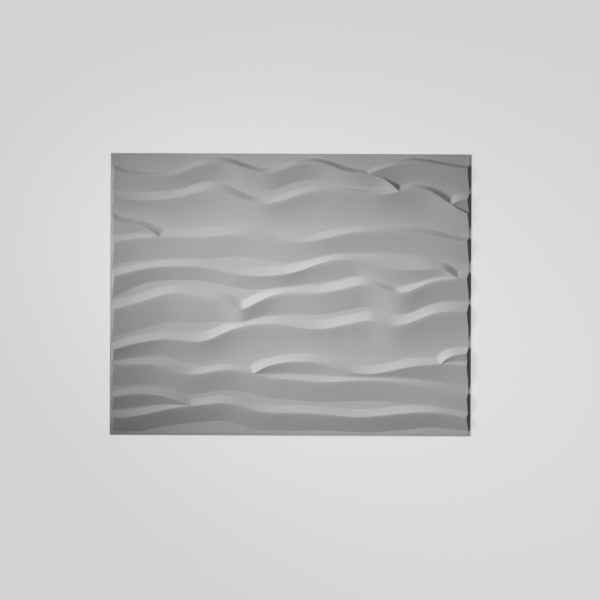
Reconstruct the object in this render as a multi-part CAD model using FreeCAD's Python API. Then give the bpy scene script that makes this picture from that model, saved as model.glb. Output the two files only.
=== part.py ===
"""A wall panel with a dune-wave relief, moulded in one piece as a thin skin with a hollow back.

The panel lies on its back. X runs along its length, Y across it and Z out of the wall, in mm,
with the origin at the middle of the back.
"""
import FreeCAD
import Part
import os

SIZES = (
    ("panel_length", 800, "along the waves"),
    ("panel_width", 625, "across the waves"),
    ("crest_height", 16, "back plane to the crests"),
    ("skin", 2, "thickness of the moulded skin, and of the flange"),
    ("flange", 4.5, "flat margin round the relief"),
    ("floor_step", 0.5, "valley floors above the flange"),
    ("end_draft", 5.5, "run of the walls that close the two ends of the waves"),
    ("side_draft", 0.5, "run of the low steps along the two long edges"),
    ("wall", 2, "thickness of those walls, measured level"),
    ("valley_floor", 3, "least width of a valley floor between two full waves"),
)

doc = FreeCAD.newDocument("wall_panel")
sheet = doc.addObject("Spreadsheet::Sheet", "sizes")
for row, (alias, value, meaning) in enumerate(SIZES, start=1):
    sheet.set("A%d" % row, alias)
    sheet.set("B%d" % row, str(value))
    sheet.set("C%d" % row, meaning)
    sheet.setAlias("B%d" % row, alias)
doc.recompute()

# The waves are drawn on a relief field with this corner, and stretched to the panel's own field.
DRAWN_CORNER = (390.0, 307.5)

# The longest step along a wave between two sections, in drawing mm.
SECTION_STEP = 20.0

# A pinched valley keeps this share of the gap as its floor, and a wave at the panel's edge
# stays within this share of the strip that is left to it.
PINCHED_FLOOR_SHARE = 0.12
EDGE_SHARE = 0.92

# Steps that find where a line meets a raked end, the share of a section step over which a slope
# is measured, and the height within which a floor counts as level.
END_STEPS = 8
SLOPE_NUDGE = 0.003
LEVEL = 1e-7


def curve_through(points):
    """Smooth curve through (x, y) points, whose parameter is x."""
    curve = Part.BSplineCurve()
    places = [FreeCAD.Vector(x, y, 0) for x, y in points]
    curve.interpolate(Points=places, Parameters=[float(x) for x, y in points])
    return curve


def eased(points, x):
    """Value at x of (x, value) points joined by level-ended cubic steps, held past both ends."""
    if x <= points[0][0]:
        return float(points[0][1])
    for (x0, v0), (x1, v1) in zip(points, points[1:]):
        if x <= x1:
            t = (x - x0) / (x1 - x0)
            return v0 + (v1 - v0) * t * t * (3 - 2 * t)
    return float(points[-1][1])


class Wave:
    """One wave of the drawing: its crest line, and the runs of its two faces across the panel.

    face is the run of the steep face on the +Y side of the crest, slope the run of the long
    slope on the other side, hollow how far that slope sags (0 to 1, or None for a straight one),
    and lean the shift of the steep face's foot along X. A wave that branches from another or
    runs into another takes its end from that one.
    """

    def __init__(self, crest, face, slope, hollow=None, lean=((0, 0),), start=None, end=None):
        crest, face, lean = list(crest), list(face), list(lean)
        if start:
            other, x = start
            crest.insert(0, (x, other.y(x)))
            face.insert(0, (x, other.face(x)))
            lean.insert(0, (x, other.lean(x)))
        if end:
            other, x = end
            crest.append((x, other.y(x)))
            face.append((x, other.face(x)))
            lean.append((x, other.lean(x)))
        self.branches = []
        for other, x in filter(None, (start, end)):
            self.branches.append(x)
            other.branches.append(x)
        self.first, self.last = crest[0][0], crest[-1][0]
        self.curve = curve_through(crest)
        self.faces, self.slopes, self.leans = face, slope, lean
        self.hollows = hollow

    def y(self, x):
        return self.curve.value(float(x)).y

    def face(self, x):
        return eased(self.faces, x)

    def slope(self, x):
        return eased(self.slopes, x)

    def hollow(self, x):
        return eased(self.hollows, x)

    def lean(self, x):
        return eased(self.leans, x)


def drawn_waves():
    """The waves, as (x, y) points of their crests and (x, run) points of their faces in mm.

    They are numbered from the top of the drawing down. A wave comes after the one it joins.
    """
    second = Wave(
        crest=((-400, 217), (-370, 211), (-325, 207), (-280, 210), (-240, 216), (-200, 227),
               (-170, 229), (-140, 222), (-100, 208), (-55, 202), (-20, 208), (20, 222), (80, 230),
               (130, 229), (160, 227), (185, 222.5), (215, 223.5), (238, 230), (280, 237),
               (300, 234), (330, 218), (355, 201), (370, 192), (400, 177)),
        face=((-390, 12), (-320, 18), (-190, 20), (-140, 20), (-80, 13), (20, 15), (60, 14),
              (100, 13), (150, 9), (170, 12), (192, 22), (215, 25), (238, 12), (290, 9), (345, 16),
              (355, 16), (365, 6)),
        slope=((-400, 29), (-350, 37), (-315, 43), (-280, 58), (-170, 70), (-100, 54), (-55, 56),
               (20, 67), (90, 74), (150, 66), (190, 61), (215, 63), (255, 74), (330, 68), (355, 58),
               (400, 43)),
        hollow=((0, 0.78),), lean=((205, 0), (238, 5), (275, 0)))
    first = Wave(
        crest=((-400, 276), (-370, 267), (-340, 263), (-300, 262), (-270, 264), (-240, 271),
               (-215, 282), (-190, 289), (-165, 294), (-140, 292), (-115, 284), (-90, 276),
               (-50, 271), (-25, 277), (0, 286), (40, 294), (75, 290), (105, 279), (140, 270),
               (172, 267), (200, 260), (220, 247)),
        face=((-400, 12), (-350, 9), (-220, 11), (60, 9), (110, 11), (172, 9), (195, 4), (212, 6),
              (228, 10)),
        slope=((-400, 41), (-300, 36), (-200, 40), (172, 40), (200, 34), (238, 30)),
        lean=((120, 0), (172, -6), (205, 0)), end=(second, 238))
    first_upper = Wave(
        crest=((190, 276), (210, 284), (240, 294), (265, 298), (300, 295), (340, 288), (400, 280)),
        face=((240, 6), (400, 8)), slope=((172, 50),),
        lean=((215, 0),), start=(first, 172))
    second_upper = Wave(
        crest=((370, 209), (385, 213), (400, 216)),
        face=((365, 18), (400, 12)), slope=((355, 45),), start=(second, 355))
    third = Wave(
        crest=((-400, 112), (-360, 120), (-310, 125), (-240, 126), (-190, 127), (-140, 132),
               (-100, 132), (-65, 126), (0, 118), (40, 119), (80, 126), (140, 139), (190, 142),
               (250, 141), (300, 135), (350, 125), (400, 118)),
        face=((-400, 18), (-350, 20), (-320, 20), (-293, 17.5), (-268, 22), (-200, 24), (-110, 19),
              (-70, 14), (0, 16), (40, 14), (80, 16), (120, 13), (250, 12), (280, 14), (400, 10)),
        slope=((-400, 49),), lean=((-340, 0), (-293, 11), (-235, 0)))
    third_upper = Wave(
        crest=((-400, 172), (-380, 160), (-350, 155), (-320, 146)),
        face=((-400, 13), (-345, 10), (-315, 13)), slope=((-400, 42), (-350, 36), (-315, 30)),
        lean=((-340, 0),), end=(third, -293))
    fifth = Wave(
        crest=((-400, -36), (-360, -25), (-310, -10), (-277, 0), (-245, 2), (-215, -2),
               (-185, -7.5), (-162, -10.5), (-150, -15), (-130, -24), (-118, -29.5), (-106, -31.5),
               (-85, -22.5), (-60, -10), (-30, 0), (10, 4), (55, 4), (100, 10), (140, 19),
               (165, 23), (200, 16), (240, 5), (265, 10), (300, 25), (340, 35), (400, 38)),
        face=((-400, 20), (-200, 18), (-160, 19), (-140, 22), (-120, 21), (-110, 19), (-95, 21),
              (-55, 16), (-10, 13), (60, 16), (110, 19), (140, 20), (200, 16), (228, 13), (265, 18),
              (300, 15), (345, 10), (370, 17), (400, 14)),
        slope=((-400, 60), (-230, 63), (-140, 46), (-60, 42), (10, 48), (400, 51)))
    fourth = Wave(
        crest=((-400, 36), (-360, 48), (-310, 58), (-250, 62), (-200, 60), (-150, 51), (-105, 43),
               (-50, 42), (-10, 46), (30, 57), (80, 74), (115, 77), (150, 74), (200, 63), (235, 57),
               (300, 57.5), (325, 58.5), (341, 55.5), (354, 48.5)),
        face=((-400, 16), (-340, 14), (-100, 18), (0, 21), (80, 15), (140, 17), (220, 32),
              (285, 29), (330, 16), (355, 17)),
        slope=((-400, 45), (-310, 31), (-200, 30), (0, 30), (85, 45), (140, 36), (200, 44),
               (370, 40)),
        end=(fifth, 370))
    sixth = Wave(
        crest=((-400, -128), (-370, -116), (-320, -105), (-270, -100), (-210, -105), (-180, -100),
               (-140, -82), (-90, -68), (-40, -65), (10, -71), (60, -76), (100, -71), (150, -60),
               (180, -57), (215, -65), (245, -66), (280, -55), (310, -43), (350, -36), (400, -39)),
        face=((-400, 17), (-260, 19), (-160, 21), (-105, 13), (-60, 16), (10, 21), (400, 22)),
        slope=((-400, 30), (-330, 31), (-300, 34), (-245, 46), (-180, 52), (-120, 64), (-60, 66),
               (20, 51), (60, 50), (100, 60), (150, 74), (250, 71), (310, 80), (400, 66)),
        hollow=((-300, 0.1), (-150, 0.68)))
    seventh = Wave(
        crest=((-400, -156), (-350, -156), (-306, -155.5), (-277, -162), (-245, -173),
               (-210, -177), (-180, -172), (-140, -167), (-100, -171), (-80, -175), (-50, -183),
               (0, -188), (70, -193), (140, -190), (200, -190), (260, -196), (320, -210),
               (400, -229)),
        face=((-400, 11), (-320, 13), (-275, 18), (-210, 14), (-130, 13), (-80, 16), (0, 18),
              (100, 20), (165, 26), (220, 22), (260, 18), (330, 19), (400, 13)),
        slope=((-400, 45),), lean=((-130, 0), (-80, -11), (-60, 0)))
    seventh_upper = Wave(
        crest=((-60, -163), (-30, -153), (20, -148), (60, -150), (110, -163), (150, -173),
               (190, -173), (230, -166), (270, -158), (320, -153), (360, -153), (400, -157)),
        face=((-65, 19), (-30, 16), (30, 18), (250, 19), (333, 16), (352, 24)),
        slope=((-80, 40), (100, 40), (165, 32), (230, 40), (320, 42), (400, 54)),
        lean=((-45, 0), (290, 0), (333, -10), (360, 0)), start=(seventh, -80))
    sixth_lower = Wave(
        crest=((350, -138), (370, -131), (400, -126)),
        face=((345, 18), (400, 14)), slope=((333, 48),),
        lean=((365, 0),), start=(seventh_upper, 333))
    ninth = Wave(
        crest=((-400, -273), (-350, -271), (-300, -261), (-250, -251), (-200, -245), (-140, -241),
               (-115, -246), (-85, -255), (-40, -261), (30, -262), (90, -266), (150, -270),
               (200, -267), (260, -261), (310, -259), (350, -263), (400, -273)),
        face=((-400, 16), (-260, 17), (-220, 15), (-150, 17), (250, 17), (330, 13), (400, 12)),
        slope=((-400, 30), (-330, 36), (-220, 38), (-90, 42), (0, 40), (130, 34), (250, 37),
               (340, 33), (400, 30)))
    eighth = Wave(
        crest=((-400, -230.5), (-370, -224), (-330, -221), (-290, -225), (-255, -234)),
        face=((-400, 13), (-300, 17), (-250, 19)), slope=((-400, 32), (-320, 30), (-260, 26)),
        end=(ninth, -220))
    return (first_upper, first, second_upper, second, third_upper, third, fourth, fifth, sixth,
            sixth_lower, seventh_upper, seventh, eighth, ninth)


class Skin:
    """One side of the relief: its faces, and the points where they end on the four walls.

    half_length and half_width reach to the top of the walls, at the crests and at the floors.
    drop is the depth of this side below the front.
    """

    def __init__(self, waves, half_length, half_width, drop):
        field = (sheet.panel_length / 2 - sheet.flange - sheet.end_draft,
                 sheet.panel_width / 2 - sheet.flange - sheet.side_draft)
        self.stretch = (field[0] / DRAWN_CORNER[0], field[1] / DRAWN_CORNER[1])
        self.end_x = half_length / self.stretch[0]
        self.edge_y = half_width / self.stretch[1]
        self.crest_z = sheet.crest_height - drop
        self.floor_z = sheet.skin + sheet.floor_step - drop
        self.end_rake = sheet.end_draft / (sheet.crest_height - sheet.skin) / self.stretch[0]
        self.floor_run = sheet.valley_floor / self.stretch[1]
        self.faces = []
        self.left, self.right, self.top, self.bottom = [], [], [], []
        self.cuts = sorted({x for wave in waves for x in wave.branches})
        self.stations = self.all_stations()
        for x0, x1 in zip([-self.end_x] + self.cuts, self.cuts + [self.end_x]):
            self.column(waves, x0, x1)

    def all_stations(self):
        """Places along the panel where every face takes a section, each branch among them."""
        stations = [-self.end_x]
        for x in self.cuts + [self.end_x]:
            count = max(1, int((x - stations[-1]) / SECTION_STEP + 0.999))
            step = (x - stations[-1]) / count
            stations += [stations[-1] + step * i for i in range(1, count)] + [x]
        return stations

    def place(self, x, y, z):
        return FreeCAD.Vector(x * self.stretch[0], y * self.stretch[1], z)

    def reach(self, line, x):
        """Where a line ends: at x, or past it on the raked wall if x is an end of the field."""
        end = x
        if abs(x) == self.end_x:
            for _ in range(END_STEPS):
                end = x + (self.crest_z - line(end).z) * self.end_rake * (1 if x > 0 else -1)
        return end

    def valley(self, upper, lower, x):
        """Share of their full fall that two facing slopes reach before they meet."""
        gap = upper.y(x) - lower.y(x)
        floor_run = min(self.floor_run, PINCHED_FLOOR_SHARE * gap)
        return min(1.0, (gap - floor_run) / (upper.slope(x) + lower.face(x)))

    def fallen(self, share):
        return self.crest_z - (self.crest_z - self.floor_z) * share

    def between(self, upper, lower):
        """Lines of the strip from one crest down to the next: slope, floor and steep face."""
        def crest(x):
            return self.place(x, upper.y(x), self.crest_z)

        def hollow(x):
            share = self.valley(upper, lower, x)
            foot_z = self.fallen(share)
            z = foot_z + (self.crest_z - foot_z) * (1 - upper.hollow(x)) / 2
            return self.place(x, upper.y(x) - upper.slope(x) * share / 2, z)

        def slope_end(x):
            share = self.valley(upper, lower, x)
            return self.place(x, upper.y(x) - upper.slope(x) * share, self.fallen(share))

        def foot(x):
            share = self.valley(upper, lower, x)
            y = lower.y(x) + lower.face(x) * share
            return self.place(x + lower.lean(x) * share, y, self.fallen(share))

        def next_crest(x):
            return self.place(x, lower.y(x), self.crest_z)

        slope = (crest, hollow, slope_end) if upper.hollows else (crest, slope_end)
        return slope, (slope_end, foot), (foot, next_crest)

    def above(self, lower):
        """Lines of the strip from the field's upper edge to the first crest."""
        def edge(x):
            return self.place(x, self.edge_y, self.floor_z)

        def foot(x):
            run = min(lower.face(x), EDGE_SHARE * (self.edge_y - lower.y(x)))
            return self.place(x + lower.lean(x), lower.y(x) + run, self.floor_z)

        def crest(x):
            return self.place(x, lower.y(x), self.crest_z)

        return (edge, foot), (foot, crest)

    def below(self, upper):
        """Lines of the strip from the last crest to the field's lower edge."""
        def run(x):
            return min(upper.slope(x), EDGE_SHARE * (self.edge_y + upper.y(x)))

        def crest(x):
            return self.place(x, upper.y(x), self.crest_z)

        def slope_end(x):
            return self.place(x, upper.y(x) - run(x), self.floor_z)

        def edge(x):
            return self.place(x, -self.edge_y, self.floor_z)

        return (crest, slope_end), (slope_end, edge)

    def column(self, waves, x0, x1):
        """Faces of all strips between two places where waves branch or meet."""
        middle = (x0 + x1) / 2
        here = [wave for wave in waves if wave.first <= middle <= wave.last]
        here.sort(key=lambda wave: -wave.y(middle))
        strips = [self.above(here[0])]
        strips += [self.between(upper, lower) for upper, lower in zip(here, here[1:])]
        strips.append(self.below(here[-1]))
        for lines in (lines for strip in strips for lines in strip):
            self.faces.append(self.face(lines, x0, x1))
            if x0 == -self.end_x:
                self.left.append([line(self.reach(line, x0)) for line in lines])
            if x1 == self.end_x:
                self.right.append([line(self.reach(line, x1)) for line in lines])
        upper_edge, lower_edge = strips[0][0][0], strips[-1][-1][-1]
        self.top.append([upper_edge(self.reach(upper_edge, x)) for x in (x0, x1)])
        self.bottom.append([lower_edge(self.reach(lower_edge, x)) for x in (x0, x1)])

    def face(self, lines, x0, x1):
        """Face along X whose sections are Bezier curves over the given lines, flat if level."""
        knots = [x for x in self.stations if x0 <= x <= x1]
        mults = [4] + [2] * (len(knots) - 2) + [4]
        rows = []
        for line in lines:
            start, end = self.reach(line, x0), self.reach(line, x1)
            share = (end - start) / (x1 - x0)
            rows.append(spline_poles(line, [start + (x - x0) * share for x in knots]))
        heights = [pole.z for row in rows for pole in row]
        if max(heights) - min(heights) < LEVEL:
            return level_face(rows, mults, knots)
        surface = Part.BSplineSurface()
        surface.buildFromPolesMultsKnots(
            [list(across) for across in zip(*rows)], mults, [len(lines), len(lines)], knots,
            [0.0, 1.0], False, False, 3, len(lines) - 1)
        return surface.toShape()


def spline_poles(line, xs):
    """Poles of a smooth cubic spline that follows a line through its points at xs."""
    poles = [line(xs[0])]
    for before, after in zip(xs, xs[1:]):
        third = (after - before) / 3
        nudge = third * SLOPE_NUDGE
        start = (line(before + nudge) - line(before)) / nudge
        stop = (line(after) - line(after - nudge)) / nudge
        poles += [line(before) + start * third, line(after) - stop * third]
    return poles + [line(xs[-1])]


def level_face(rows, mults, knots):
    """Flat face between two level splines."""
    sides = []
    for row in rows:
        curve = Part.BSplineCurve()
        curve.buildFromPolesMultsKnots(row, mults, knots, False, 3)
        sides.append(curve.toShape())
    starts, ends = [edge_along([row[end] for row in rows]) for end in (0, -1)]
    return Part.Face(Part.Wire([sides[0], ends, sides[1], starts]))


def edge_along(points):
    """Straight edge between two points, or the Bezier curve of three."""
    if len(points) == 2:
        return Part.LineSegment(*points).toShape()
    curve = Part.BezierCurve()
    curve.setPoles(points)
    return curve.toShape()


def walls(skin, half_length, half_width, foot_z):
    """Four flat walls from the edges of the relief to a level rectangle, and its corners."""
    corners = rectangle(half_length, half_width, foot_z)
    turned = [[points[::-1] for points in chain[::-1]] for chain in (skin.right, skin.top)]
    faces = []
    for i, chain in enumerate((skin.bottom, turned[0], turned[1], skin.left)):
        edges = [edge_along(points) for points in chain]
        first, last = chain[0][0], chain[-1][-1]
        start, stop = corners[i], corners[(i + 1) % 4]
        edges += [edge_along(ends) for ends in ((last, stop), (stop, start), (start, first))]
        faces.append(Part.Face(Part.Wire(edges)))
    return faces, corners


def rim(corners, z):
    """Level ring between the panel's outline and the given corners."""
    outline = rectangle(sheet.panel_length / 2, sheet.panel_width / 2, z)
    outer = Part.makePolygon(outline + outline[:1])
    inner = Part.makePolygon(corners + corners[:1])
    return Part.makeFace([outer, inner], "Part::FaceMakerBullseye")


def rectangle(x, y, z):
    return [FreeCAD.Vector(*corner, z) for corner in ((-x, -y), (x, -y), (x, y), (-x, y))]


def outer_edges():
    """The four narrow faces round the flange."""
    half_length, half_width = sheet.panel_length / 2, sheet.panel_width / 2
    low = rectangle(half_length, half_width, 0)
    high = rectangle(half_length, half_width, sheet.skin)
    faces = []
    for i in range(4):
        j = (i + 1) % 4
        faces.append(Part.Face(Part.makePolygon([low[i], low[j], high[j], high[i], low[i]])))
    return faces


def panel_solid():
    """The skin between the relief's front and its back, closed round the flange."""
    waves = drawn_waves()
    half_length = sheet.panel_length / 2 - sheet.flange
    half_width = sheet.panel_width / 2 - sheet.flange
    front = Skin(waves, half_length - sheet.end_draft, half_width - sheet.side_draft, 0)
    back = Skin(waves, half_length - sheet.end_draft - sheet.wall,
                half_width - sheet.side_draft - sheet.wall, sheet.skin)
    front_walls, front_corners = walls(front, half_length, half_width, sheet.skin)
    back_walls, back_corners = walls(back, half_length - sheet.wall, half_width - sheet.wall, 0)
    faces = front.faces + front_walls + back.faces + back_walls + outer_edges()
    faces += rim(front_corners, sheet.skin).Faces + rim(back_corners, 0).Faces
    shell = Part.makeCompound(faces)
    shell.sewShape()
    solid = Part.makeSolid(shell.Shells[0] if shell.Shells else shell)
    if solid.Volume < 0:
        solid.reverse()
    return solid


panel = doc.addObject("Part::Feature", "wall_panel")
panel.Label = "wall_panel"
panel.Shape = panel_solid()
panel.Placement = FreeCAD.Placement()

doc.recompute()
for thing in doc.Objects:
    if "Invalid" in thing.State or "Error" in thing.State:
        raise RuntimeError("%s did not build" % thing.Label)
if panel.Shape.isNull() or not panel.Shape.isValid() or len(panel.Shape.Solids) != 1:
    raise RuntimeError("the panel is not one valid solid")

os.makedirs("parts", exist_ok=True)
panel.Shape.exportStep("parts/wall_panel.step")
print("wall_panel", panel.Shape.BoundBox, "volume %.0f mm3" % panel.Shape.Volume)
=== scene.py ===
import math

import bmesh
import bpy
import numpy as np
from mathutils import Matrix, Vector


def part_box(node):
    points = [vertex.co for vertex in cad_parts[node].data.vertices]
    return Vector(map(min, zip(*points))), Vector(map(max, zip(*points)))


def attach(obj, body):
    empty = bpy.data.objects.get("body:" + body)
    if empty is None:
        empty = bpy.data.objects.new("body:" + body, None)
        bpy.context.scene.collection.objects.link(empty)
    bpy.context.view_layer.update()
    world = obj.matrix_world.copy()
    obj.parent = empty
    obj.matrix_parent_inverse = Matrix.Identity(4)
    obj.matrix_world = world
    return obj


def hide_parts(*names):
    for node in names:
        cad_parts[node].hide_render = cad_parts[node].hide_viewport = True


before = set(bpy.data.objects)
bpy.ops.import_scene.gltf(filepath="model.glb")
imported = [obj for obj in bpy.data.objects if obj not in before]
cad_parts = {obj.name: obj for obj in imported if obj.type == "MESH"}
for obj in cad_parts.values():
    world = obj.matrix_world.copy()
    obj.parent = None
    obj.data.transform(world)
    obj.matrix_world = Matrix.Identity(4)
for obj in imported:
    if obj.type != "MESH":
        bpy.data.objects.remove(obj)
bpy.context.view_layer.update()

# The wall panel.
# One thin sheet of fibre pulp, pressed wet between two moulds and dried. Its front is a relief of
# dune waves that branch and meet, its back is hollow, and a flat rim glues it to the wall.
MM = 0.001
far_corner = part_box("wall_panel")[1]
half_length = far_corner.x / MM
half_width = far_corner.y / MM
crest_z = far_corner.z / MM
skin = 2.0
rim = 4.5
floor_step = 0.5
floor_z = skin + floor_step
end_draft = 5.5
side_draft = 0.5
side_lip = 1.0
wall = 2.0
valley_floor = 3.0
pinched_floor_share = 0.12
edge_share = 0.92
crest_round = 0.8
usual_dish = 0.35
branch_taper = 12.0
station_step = 3.2
edge_round = 0.2
foot_fillet = 3.5
tiny = 0.001


def spline(points):
    """Cubic spline through (x, y) points. The slopes at the points solve the equations that keep
    the curvature unbroken, and each end slope is that of the cubic through the four end points."""
    x, y = np.array(points, float).T
    h = np.diff(x)
    system = np.eye(len(x))
    known = np.zeros(len(x))
    for end, four in ((0, slice(0, 4)), (-1, slice(-4, None))):
        cubic = np.polyfit(x[four] - x[end], y[four], min(3, len(x[four]) - 1))
        known[end] = cubic[-2]
    inner = np.arange(1, len(x) - 1)
    system[inner, inner - 1] = 1 / h[:-1]
    system[inner, inner] = 2 / h[:-1] + 2 / h[1:]
    system[inner, inner + 1] = 1 / h[1:]
    rise = np.diff(y) / h**2
    known[inner] = 3 * (rise[:-1] + rise[1:])
    slope = np.linalg.solve(system, known)

    def value(at):
        i = np.clip(np.searchsorted(x, at, side="right") - 1, 0, len(h) - 1)
        t = (at - x[i]) / h[i]
        start = (1 + 2 * t) * (1 - t) ** 2 * y[i] + t * (1 - t) ** 2 * h[i] * slope[i]
        stop = t * t * (3 - 2 * t) * y[i + 1] + t * t * (t - 1) * h[i] * slope[i + 1]
        return start + stop

    return value


def eased(points):
    """Values joined by level-ended cubic steps, t squared times 3 - 2t, and held past both ends."""
    x, v = np.array(points, float).T

    def value(at):
        i = np.clip(np.searchsorted(x, at, side="right") - 1, 0, max(0, len(x) - 2))
        j = np.minimum(i + 1, len(x) - 1)
        t = np.clip((at - x[i]) / np.maximum(x[j] - x[i], tiny), 0, 1)
        return v[i] + (v[j] - v[i]) * t * t * (3 - 2 * t)

    return value


class Wave:
    """One wave, as lines over x in mm: y of its crest, the run of its steep face towards +Y, the
    run of its long slope towards -Y, the lean of the steep face's foot along X, and how far the
    face is dished. A crease is the x and the height of a low ridge down the long slope."""

    def __init__(self, crest, face, slope, hollow=((0, 0),), lean=((0, 0),),
                 dish=((0, usual_dish),), crease=(0, 0), start=None, end=None):
        self.joins = []
        for joined in filter(None, (start, end)):
            other, x = joined
            lines = other.y, other.face, other.lean, other.dish
            shared = [((x, float(line(x))),) for line in lines]
            pairs = zip(shared, (crest, face, lean, dish))
            crest, face, lean, dish = [a + b if joined is start else b + a for a, b in pairs]
            self.joins.append(x)
            other.joins.append(x)
        self.first, self.last = crest[0][0], crest[-1][0]
        self.y, self.face, self.lean = spline(crest), eased(face), eased(lean)
        self.slope, self.hollow, self.dish = eased(slope), eased(hollow), eased(dish)
        self.crease = crease

    def rounding(self, x):
        """Half width of the rounded crest, which narrows to nothing where waves branch."""
        away = np.min([np.abs(x - at) for at in self.joins] or [x * 0 + branch_taper], axis=0)
        return crest_round * np.clip(away / branch_taper, tiny, 1)

    def steepness(self, x):
        """Sum of the slopes on the two sides of the crest."""
        return (crest_z - floor_z) * ((1 + self.hollow(x)) / self.slope(x)
                                      + (1 + self.dish(x)) / self.face(x))

    def rounded(self, x, away):
        """Drop below the sharp crest at a distance from it: a parabola between the two slopes."""
        half = self.rounding(x)
        return self.steepness(x) * np.maximum(half - away, 0) ** 2 / (4 * half)


second = Wave(
    crest=((-400, 217), (-370, 211), (-325, 207), (-280, 210), (-240, 216), (-200, 227),
           (-170, 229), (-140, 222), (-100, 208), (-55, 202), (-20, 208), (20, 222), (80, 230),
           (130, 229), (160, 227), (185, 222.5), (215, 223.5), (238, 230), (280, 237),
           (300, 234), (330, 218), (355, 201), (370, 192), (400, 177)),
    face=((-390, 12), (-320, 18), (-190, 20), (-140, 20), (-80, 13), (20, 15), (60, 14),
          (100, 13), (150, 9), (170, 12), (192, 22), (215, 25), (238, 12), (290, 9), (345, 16),
          (355, 16), (365, 6)),
    slope=((-400, 29), (-350, 37), (-315, 43), (-280, 58), (-170, 70), (-100, 54), (-55, 56),
           (20, 67), (90, 74), (150, 66), (190, 61), (215, 63), (255, 74), (330, 68), (355, 58),
           (400, 43)),
    hollow=((0, 0.78),), lean=((205, 0), (238, 5), (275, 0)),
    dish=((-200, 0.35), (-160, 0), (-105, 0), (-70, 0.35)))
first = Wave(
    crest=((-400, 276), (-370, 267), (-340, 263), (-300, 262), (-270, 264), (-240, 271),
           (-215, 282), (-190, 289), (-165, 294), (-140, 292), (-115, 284), (-90, 276),
           (-50, 271), (-25, 277), (0, 286), (40, 294), (75, 290), (105, 279), (140, 270),
           (172, 267), (200, 260), (220, 247)),
    face=((-400, 12), (-350, 9), (-220, 11), (60, 9), (110, 11), (172, 9), (195, 4), (212, 6),
          (228, 10)),
    slope=((-400, 41), (-300, 36), (-200, 40), (172, 40), (200, 34), (238, 30)),
    lean=((120, 0), (172, -6), (205, 0)),
    dish=((-330, 0), (-280, 0.35), (-200, 0.35), (-165, 0), (-100, 0), (-60, 0.35)),
    crease=(-107, 1.2), end=(second, 238))
first_upper = Wave(
    crest=((190, 276), (210, 284), (240, 294), (265, 298), (300, 295), (340, 288), (400, 280)),
    face=((240, 6), (400, 8)), slope=((172, 50),),
    lean=((215, 0),), start=(first, 172))
second_upper = Wave(
    crest=((370, 209), (385, 213), (400, 216)),
    face=((365, 18), (400, 12)), slope=((355, 45),), start=(second, 355))
third = Wave(
    crest=((-400, 112), (-360, 120), (-310, 125), (-240, 126), (-190, 127), (-140, 132),
           (-100, 132), (-65, 126), (0, 118), (40, 119), (80, 126), (140, 139), (190, 142),
           (250, 141), (300, 135), (350, 125), (400, 118)),
    face=((-400, 18), (-350, 20), (-320, 20), (-293, 17.5), (-268, 22), (-200, 24), (-110, 19),
          (-70, 14), (0, 16), (40, 14), (80, 16), (120, 13), (250, 12), (280, 14), (400, 10)),
    slope=((-400, 49),), lean=((-340, 0), (-293, 11), (-235, 0)),
    dish=((-340, 0.35), (-280, 0.85), (-120, 0.7), (-80, 0.35)))
third_upper = Wave(
    crest=((-400, 172), (-380, 160), (-350, 155), (-320, 146)),
    face=((-400, 13), (-345, 10), (-315, 13)), slope=((-400, 42), (-350, 36), (-315, 30)),
    lean=((-340, 0),), dish=((-330, 0.2),), end=(third, -293))
fifth = Wave(
    crest=((-400, -36), (-360, -25), (-310, -10), (-277, 0), (-245, 2), (-215, -2),
           (-185, -7.5), (-162, -10.5), (-150, -15), (-130, -24), (-118, -29.5), (-106, -31.5),
           (-85, -22.5), (-60, -10), (-30, 0), (10, 4), (55, 4), (100, 10), (140, 19),
           (165, 23), (200, 16), (240, 5), (265, 10), (300, 25), (340, 35), (400, 38)),
    face=((-400, 20), (-200, 18), (-160, 19), (-140, 22), (-120, 21), (-110, 19), (-95, 21),
          (-55, 16), (-10, 13), (60, 16), (110, 19), (140, 20), (200, 16), (228, 13), (265, 18),
          (300, 15), (345, 10), (370, 17), (400, 14)),
    slope=((-400, 60), (-230, 63), (-140, 46), (-60, 42), (10, 48), (400, 51)))
fourth = Wave(
    crest=((-400, 36), (-360, 48), (-310, 58), (-250, 62), (-200, 60), (-150, 51), (-105, 43),
           (-50, 42), (-10, 46), (30, 57), (80, 74), (115, 77), (150, 74), (200, 63), (235, 57),
           (300, 57.5), (325, 58.5), (341, 55.5), (354, 48.5)),
    face=((-400, 16), (-340, 14), (-100, 18), (0, 21), (80, 15), (140, 17), (220, 32),
          (285, 29), (330, 16), (355, 17)),
    slope=((-400, 45), (-310, 31), (-200, 30), (0, 30), (85, 45), (140, 36), (200, 44),
           (370, 40)),
    end=(fifth, 370))
sixth = Wave(
    crest=((-400, -128), (-370, -116), (-320, -105), (-270, -100), (-210, -105), (-180, -100),
           (-140, -82), (-90, -68), (-40, -65), (10, -71), (60, -76), (100, -71), (150, -60),
           (180, -57), (215, -65), (245, -66), (280, -55), (310, -43), (350, -36), (400, -39)),
    face=((-400, 17), (-260, 19), (-160, 21), (-105, 13), (-60, 16), (10, 21), (400, 22)),
    slope=((-400, 30), (-330, 31), (-300, 34), (-245, 46), (-180, 52), (-120, 64), (-60, 66),
           (20, 51), (60, 50), (100, 60), (150, 74), (250, 71), (310, 80), (400, 66)),
    hollow=((-300, 0.1), (-150, 0.68)))
seventh = Wave(
    crest=((-400, -156), (-350, -156), (-306, -155.5), (-277, -162), (-245, -173),
           (-210, -177), (-180, -172), (-140, -167), (-100, -171), (-80, -175), (-50, -183),
           (0, -188), (70, -193), (140, -190), (200, -190), (260, -196), (320, -210),
           (400, -229)),
    face=((-400, 11), (-320, 13), (-275, 18), (-210, 14), (-130, 13), (-80, 16), (0, 18),
          (100, 20), (165, 26), (220, 22), (260, 18), (330, 19), (400, 13)),
    slope=((-400, 45),), lean=((-130, 0), (-80, -11), (-60, 0)))
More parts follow.
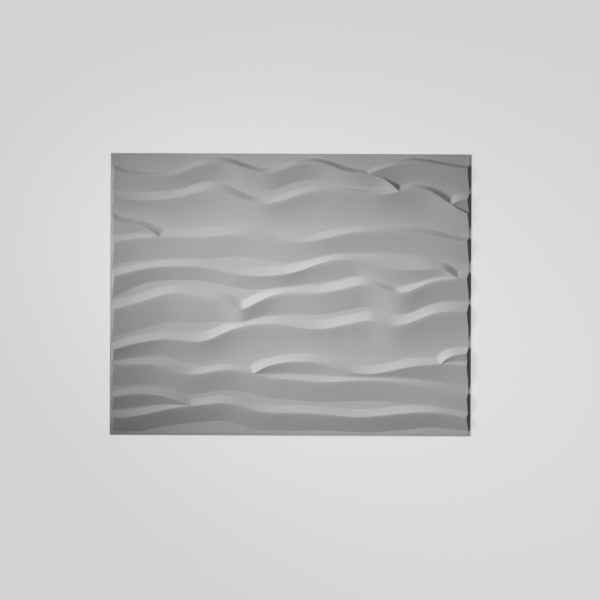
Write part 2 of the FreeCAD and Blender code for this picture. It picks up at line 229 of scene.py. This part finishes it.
seventh_upper = Wave(
    crest=((-60, -163), (-30, -153), (20, -148), (60, -150), (110, -163), (150, -173),
           (190, -173), (230, -166), (270, -158), (320, -153), (360, -153), (400, -157)),
    face=((-65, 19), (-30, 16), (30, 18), (250, 19), (333, 16), (352, 24)),
    slope=((-80, 40), (100, 40), (165, 32), (230, 40), (320, 42), (400, 54)),
    lean=((-45, 0), (290, 0), (333, -10), (360, 0)), start=(seventh, -80))
sixth_lower = Wave(
    crest=((350, -138), (370, -131), (400, -126)),
    face=((345, 18), (400, 14)), slope=((333, 48),),
    lean=((365, 0),), start=(seventh_upper, 333))
ninth = Wave(
    crest=((-400, -273), (-350, -271), (-300, -261), (-250, -251), (-200, -245), (-140, -241),
           (-115, -246), (-85, -255), (-40, -261), (30, -262), (90, -266), (150, -270),
           (200, -267), (260, -261), (310, -259), (350, -263), (400, -273)),
    face=((-400, 16), (-260, 17), (-220, 15), (-150, 17), (250, 17), (330, 13), (400, 12)),
    slope=((-400, 30), (-330, 36), (-220, 38), (-90, 42), (0, 40), (130, 34), (250, 37),
           (340, 33), (400, 30)))
eighth = Wave(
    crest=((-400, -230.5), (-370, -224), (-330, -221), (-290, -225), (-255, -234)),
    face=((-400, 13), (-300, 17), (-250, 19)), slope=((-400, 32), (-320, 30), (-260, 26)),
    end=(ninth, -220))
waves = (first_upper, first, second_upper, second, third_upper, third, fourth, fifth, sixth,
         sixth_lower, seventh_upper, seventh, eighth, ninth)

crease_reach = 20.0
fold_step = 0.6
fold_share = 0.25
slope_rows = (0.2, 0.4, 0.6, 0.8)
face_rows = (0.25, 0.5, 0.75)
floor_rows = (0.5,)


def rows_over(run, shares, last=False):
    """Shares of a run at which rows lie: 0, one close by, those given, one close to 1, and 1."""
    close = np.minimum(fold_share / (1 + len(shares)), fold_step / np.maximum(run, tiny))
    rows = [0 * close, close] + [share + 0 * close for share in shares] + [1 - close]
    return np.array(rows + [0 * close + 1] if last else rows)


def long_slope(wave, x, run, fall):
    """Rows down from a crest. Height falls by a parabola: by 1 + hollow at the crest, 1 - hollow
    at the end, in units of the mean slope. The crease adds a ridge with parabolic sides, which
    dies out at both ends of the slope."""
    t = rows_over(run, slope_rows)
    z = crest_z - fall * (t * (1 + wave.hollow(x)) - t * t * wave.hollow(x))
    crease_x, crease_height = wave.crease
    ridge = np.maximum(1 - np.abs(x - crease_x) / crease_reach, 0) ** 2
    z = z + crease_height * ridge * 4 * t * (1 - t)
    return np.stack([x + 0 * t, wave.y(x) - run * t, z - wave.rounded(x, run * t)], -1)


def steep_face(wave, x, run, fall, lean):
    """Rows up from a foot to a crest. Height rises by a parabola: by 1 - dish at the foot,
    1 + dish at the crest, in units of the mean slope."""
    t = rows_over(run, face_rows)
    z = crest_z - fall * (1 - t) * (1 + wave.dish(x) * t) - wave.rounded(x, run * (1 - t))
    return np.stack([x + lean * (1 - t), wave.y(x) + run * (1 - t), z], -1)


def level_floor(x, start, end, lean, z, last=False):
    """Rows from one y to another at one height."""
    t = rows_over(start - end, floor_rows, last)
    return np.stack([x + lean * t, start + (end - start) * t, z + 0 * t], -1)


def strip(upper, lower, edge_y, x):
    """Rows from one crest, or the relief's upper edge, towards the next crest or the lower edge:
    a long slope, a floor and a steep face. Between two crests both slopes are cut down to the
    share of their full fall that fits in the gap."""
    full = crest_z - floor_z
    if upper is None:
        run = np.minimum(lower.face(x), edge_share * (edge_y - lower.y(x)))
        floor = level_floor(x, edge_y + 0 * x, lower.y(x) + run, lower.lean(x), floor_z)
        return [floor, steep_face(lower, x, run, full, lower.lean(x))]
    if lower is None:
        run = np.minimum(upper.slope(x), edge_share * (edge_y + upper.y(x)))
        floor = level_floor(x, upper.y(x) - run, -edge_y + 0 * x, 0, floor_z, last=True)
        return [long_slope(upper, x, run, full), floor]
    gap = upper.y(x) - lower.y(x)
    floor_run = np.minimum(valley_floor, pinched_floor_share * gap)
    share = np.minimum(1, (gap - floor_run) / (upper.slope(x) + lower.face(x)))
    slope_run, face_run = upper.slope(x) * share, lower.face(x) * share
    lean, fall = lower.lean(x) * share, full * share
    floor = level_floor(x, upper.y(x) - slope_run, lower.y(x) + face_run, lean, crest_z - fall)
    return [long_slope(upper, x, slope_run, fall), floor,
            steep_face(lower, x, face_run, fall, lean)]


def raked(grid, end_x):
    """Rows cut back along themselves to end on the raked wall, whose x grows as it goes down, with
    one more point close to that end."""
    count = grid.shape[1]
    start, end = grid[:, :1, 0], grid[:, -1:, 0]
    reach = end_x + (crest_z - grid[:, -1:, 2]) * end_draft / (crest_z - skin)
    at = (np.abs(reach * np.sign(end) - start) / np.abs(end - start)) * np.arange(count)
    i = np.minimum(at.astype(int), count - 2)
    rows = np.arange(len(grid))[:, None]
    part = (at - i)[..., None]
    cut = grid[rows, i] * (1 - part) + grid[rows, i + 1] * part
    close = cut[:, -1:] + (cut[:, -2:-1] - cut[:, -1:]) * edge_round / station_step
    return np.concatenate([cut[:, :-1], close, cut[:, -1:]], 1)


def relief(inset, drop):
    """One side of the skin, as a grid for each stretch between two places where waves branch."""
    creases = {wave.crease[0] for wave in waves if wave.crease[1]}
    cuts = sorted(creases.union(*[wave.joins for wave in waves]))
    edge_y = field_y - inset
    grids = []
    for x0, x1 in zip([-foot_x] + cuts, cuts + [foot_x]):
        x = np.linspace(x0, x1, int((x1 - x0) / station_step) + 2)
        middle = (x0 + x1) / 2
        here = [wave for wave in waves if wave.first <= middle <= wave.last]
        here.sort(key=lambda wave: -wave.y(middle))
        strips = [strip(*pair, edge_y, x) for pair in zip([None] + here, here + [None])]
        grids.append(np.concatenate([part for parts in strips for part in parts]))
    grids[0] = raked(grids[0][:, ::-1], field_x - inset)[:, ::-1]
    grids[-1] = raked(grids[-1], field_x - inset)
    return [grid - (0, 0, drop) for grid in grids]


def outline_loop(grids):
    """Points round the edge of the relief, down its left end, along, up its right end and back,
    and the same points pushed out to a square of half length 1."""
    left, right = grids[0][:-1, 0], grids[-1][:0:-1, -1]
    bottom = np.concatenate([grid[-1, :-1] for grid in grids])
    top = np.concatenate([grid[0, :0:-1] for grid in grids[::-1]])
    loop = np.concatenate([left, bottom, right, top])
    square = loop[:, :2] / np.abs(loop[:, :2]).max(0)
    square[:len(left), 0] = -1
    square[len(left) + len(bottom):][:len(right), 0] = 1
    return loop, square


def rectangle_loop(square, x, y, z):
    """The square loop stretched to a level rectangle of that half length and half width."""
    return np.column_stack([square * (x, y), np.full(len(square), z)])


fillet_loops = 7
most_up = 0.9
most_out = 0.8


def filleted(top, foot, edge):
    """Loops round the curve from wall to rim, a parabola with its corner at the foot. It starts
    the fillet's reach up the wall and ends as far out on the rim, or short of either's edge."""

    def reach(way, most):
        return way * np.minimum(most, foot_fillet / np.linalg.norm(way, axis=1, keepdims=True))

    start, end = foot + reach(top - foot, most_up), foot + reach(edge - foot, most_out)
    t = np.linspace(0, 1, fillet_loops)[:, None, None]
    return (1 - t) ** 2 * start + 2 * t * (1 - t) * foot + t * t * end


def border(loops, shares):
    """Loops between each pair of main loops, at the given shares of the way."""
    made = [a + (b - a) * t for a, b, part in zip(loops, loops[1:], shares) for t in part]
    return np.array(made + [loops[-1]])


def grid_quads(rows, columns, start, flipped=False, closed=False):
    """Corner numbers of a grid's quads: each point, the one below, that one's right, its right."""
    index = start + np.arange(rows * columns).reshape(rows, columns)
    if closed:
        index = np.concatenate([index, index[:, :1]], 1)
    corners = index[:-1, :-1], index[1:, :-1], index[1:, 1:], index[:-1, 1:]
    quads = np.stack(corners, -1).reshape(-1, 4)
    return quads[:, ::-1] if flipped else quads


field_x, field_y = half_length - rim - end_draft, half_width - rim - side_draft
foot_x, foot_y = half_length - rim, half_width - side_lip
front, back = relief(0, 0), relief(wall, skin)
front_loop, front_square = outline_loop(front)
back_loop, back_square = outline_loop(back)
rim_edge = rectangle_loop(front_square, half_length, half_width, skin)
fillet = filleted(front_loop, rectangle_loop(front_square, foot_x, foot_y, skin), rim_edge)
wall_rows = (0, 0.03)
rim_rows = (0, 0.85)
side_rows = (0, 0.1, 0.9)
back_rows = (0, 0.03, 0.97)
edge_loops = border(
    (front_loop, *fillet, rim_edge, rectangle_loop(front_square, half_length, half_width, 0),
     rectangle_loop(back_square, foot_x - wall, half_width - rim - wall, 0), back_loop),
    (wall_rows, *[(0,)] * (len(fillet) - 1), rim_rows, side_rows, back_rows, back_rows))
points, quads, count = [], [], 0
for sheet, flipped, closed in ([(grid, False, False) for grid in front]
                               + [(grid, True, False) for grid in back]
                               + [(edge_loops, False, True)]):
    points.append(sheet.reshape(-1, 3) * MM)
    quads.append(grid_quads(*sheet.shape[:2], count, flipped, closed))
    count += len(points[-1])
panel_mesh = bpy.data.meshes.new("wall_panel_moulded")
panel_mesh.from_pydata(np.concatenate(points).tolist(), [], np.concatenate(quads).tolist())
welded = bmesh.new()
welded.from_mesh(panel_mesh)
bmesh.ops.remove_doubles(welded, verts=welded.verts, dist=tiny * MM)
welded.to_mesh(panel_mesh)
welded.free()
panel_mesh.shade_smooth()
panel = bpy.data.objects.new("wall_panel_moulded", panel_mesh)
bpy.context.scene.collection.objects.link(panel)

# Its surface is matt, cloudy off-white pulp, with long strands pressed into a fine felt.
dull_pulp = (0.589, 0.60, 0.607, 1)
bright_pulp = (0.628, 0.64, 0.648, 1)
fleck_colour = (0.56, 0.565, 0.56, 1)
strand_turns = (25, -50)
strand_tip = (0.35, 0.1)
strand_scale = (180, 1600, 1600)
strand_height = 0.6
felt_tip = (0.7, 0.5, 0)
fibre = bpy.data.materials.new("moulded_fibre")
fibre.use_nodes = True
nodes, links = fibre.node_tree.nodes, fibre.node_tree.links
shader = nodes["Principled BSDF"]
shader.inputs["Specular IOR Level"].default_value = 0.25
place = nodes.new("ShaderNodeTexCoord")
cloud = nodes.new("ShaderNodeTexNoise")
cloud.inputs["Scale"].default_value = 14.0
cloud.inputs["Detail"].default_value = 4.0
links.new(place.outputs["Object"], cloud.inputs["Vector"])
tone = nodes.new("ShaderNodeMix")
tone.data_type = "RGBA"
tone.inputs["A"].default_value = dull_pulp
tone.inputs["B"].default_value = bright_pulp
links.new(cloud.outputs["Fac"], tone.inputs["Factor"])
dryness = nodes.new("ShaderNodeMapRange")
dryness.inputs["To Min"].default_value = 0.86
dryness.inputs["To Max"].default_value = 0.98
links.new(cloud.outputs["Fac"], dryness.inputs["Value"])
links.new(dryness.outputs["Result"], shader.inputs["Roughness"])
strands = nodes.new("ShaderNodeMath")
strands.operation = "MAXIMUM"
for side, turn in enumerate(strand_turns):
    drawn_out = nodes.new("ShaderNodeMapping")
    drawn_out.inputs["Rotation"].default_value = (*strand_tip, math.radians(turn))
    drawn_out.inputs["Scale"].default_value = strand_scale
    strand = nodes.new("ShaderNodeTexNoise")
    strand.inputs["Scale"].default_value = 1.0
    strand.inputs["Detail"].default_value = 2.0
    strand.inputs["Distortion"].default_value = 0.6
    links.new(place.outputs["Object"], drawn_out.inputs["Vector"])
    links.new(drawn_out.outputs["Vector"], strand.inputs["Vector"])
    links.new(strand.outputs["Fac"], strands.inputs[side])
fleck = nodes.new("ShaderNodeMapRange")
fleck.inputs["From Min"].default_value = 0.62
fleck.inputs["From Max"].default_value = 0.78
fleck.inputs["To Max"].default_value = 0.35
links.new(strands.outputs["Value"], fleck.inputs["Value"])
flecked = nodes.new("ShaderNodeMix")
flecked.data_type = "RGBA"
flecked.inputs["B"].default_value = fleck_colour
links.new(fleck.outputs["Result"], flecked.inputs["Factor"])
links.new(tone.outputs["Result"], flecked.inputs["A"])
links.new(flecked.outputs["Result"], shader.inputs["Base Color"])
felt = nodes.new("ShaderNodeTexNoise")
felt.inputs["Scale"].default_value = 900.0
felt.inputs["Detail"].default_value = 3.0
felt.inputs["Roughness"].default_value = 0.6
tipped = nodes.new("ShaderNodeMapping")
tipped.inputs["Rotation"].default_value = felt_tip
links.new(place.outputs["Object"], tipped.inputs["Vector"])
links.new(tipped.outputs["Vector"], felt.inputs["Vector"])
nap = nodes.new("ShaderNodeMath")
nap.operation = "MULTIPLY_ADD"
nap.inputs[1].default_value = strand_height
links.new(strands.outputs["Value"], nap.inputs[0])
links.new(felt.outputs["Fac"], nap.inputs[2])
bump = nodes.new("ShaderNodeBump")
bump.inputs["Strength"].default_value = 0.45
bump.inputs["Distance"].default_value = 0.15 * MM
links.new(nap.outputs["Value"], bump.inputs["Height"])
links.new(bump.outputs["Normal"], shader.inputs["Normal"])
panel_mesh.materials.append(fibre)
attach(panel, "root")
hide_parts("wall_panel")

# The floor.
# A plain pale sheet that the panel lies on, seen all round it.
floor_half = 6.0
floor_mesh = bpy.data.meshes.new("floor")
floor_mesh.from_pydata([(-floor_half, -floor_half, 0), (floor_half, -floor_half, 0),
                        (floor_half, floor_half, 0), (-floor_half, floor_half, 0)],
                       [], [(0, 1, 2, 3)])
floor = bpy.data.objects.new("floor", floor_mesh)
bpy.context.scene.collection.objects.link(floor)
paper = bpy.data.materials.new("pale_floor")
paper.use_nodes = True
nodes, links = paper.node_tree.nodes, paper.node_tree.links
paper_shader = nodes["Principled BSDF"]
paper_shader.inputs["Base Color"].default_value = (0.22, 0.22, 0.22, 1)
paper_shader.inputs["Roughness"].default_value = 0.9
paper_shader.inputs["Specular IOR Level"].default_value = 0
paper_shader.inputs["Emission Color"].default_value = (0.62, 0.62, 0.62, 1)
seen = nodes.new("ShaderNodeLightPath")
mirrored = nodes.new("ShaderNodeMath")
mirrored.operation = "MAXIMUM"
links.new(seen.outputs["Is Glossy Ray"], mirrored.inputs[0])
links.new(seen.outputs["Is Transmission Ray"], mirrored.inputs[1])
shown = nodes.new("ShaderNodeMath")
shown.operation = "MAXIMUM"
links.new(seen.outputs["Is Camera Ray"], shown.inputs[0])
links.new(mirrored.outputs["Value"], shown.inputs[1])
links.new(shown.outputs["Value"], paper_shader.inputs["Emission Strength"])
floor_mesh.materials.append(paper)

# The light.
# One gridded softbox from the upper left, close by and low over the relief, so that its beam fades
# towards the panel's corners, a large weak lamp overhead, and a weak even light from all round.
lamp_place = Vector((-1.34, 0.55, 1.08))
lamp_aim = Vector((0.32, -0.13, 0))
lamp = bpy.data.lights.new("key", "AREA")
lamp.shape = "DISK"
lamp.size = 0.5
lamp.spread = math.radians(41)
lamp.energy = 2.33
key = bpy.data.objects.new("key", lamp)
key.location = lamp_place
key.rotation_euler = (lamp_aim - lamp_place).to_track_quat("-Z", "Y").to_euler()
bpy.context.scene.collection.objects.link(key)
fill_height = 9.0
fill_lamp = bpy.data.lights.new("fill", "AREA")
fill_lamp.shape = "DISK"
fill_lamp.size = 6.0
fill_lamp.energy = 40.0
fill = bpy.data.objects.new("fill", fill_lamp)
fill.location = (0, 0, fill_height)
bpy.context.scene.collection.objects.link(fill)
world = bpy.data.worlds.new("studio")
world.use_nodes = True
world.node_tree.nodes["Background"].inputs["Color"].default_value = (1, 1, 1, 1)
world.node_tree.nodes["Background"].inputs["Strength"].default_value = 0.045
bpy.context.scene.world = world

# The camera.
# It looks straight down on the panel from 8 m, with the panel's upper edge at the top.
view_height = 8.0
view_width = 1.33
view_middle = (0.0207, -0.0118)
view_roll = math.radians(0.25)
camera_data = bpy.data.cameras.new("camera")
camera_data.sensor_width = 36
camera_data.lens = camera_data.sensor_width * (view_height - skin * MM) / view_width
camera = bpy.data.objects.new("camera", camera_data)
camera.location = (*view_middle, view_height)
camera.rotation_euler = (0, 0, view_roll)
bpy.context.scene.collection.objects.link(camera)
bpy.context.scene.camera = camera
bpy.context.scene.view_settings.view_transform = "Standard"
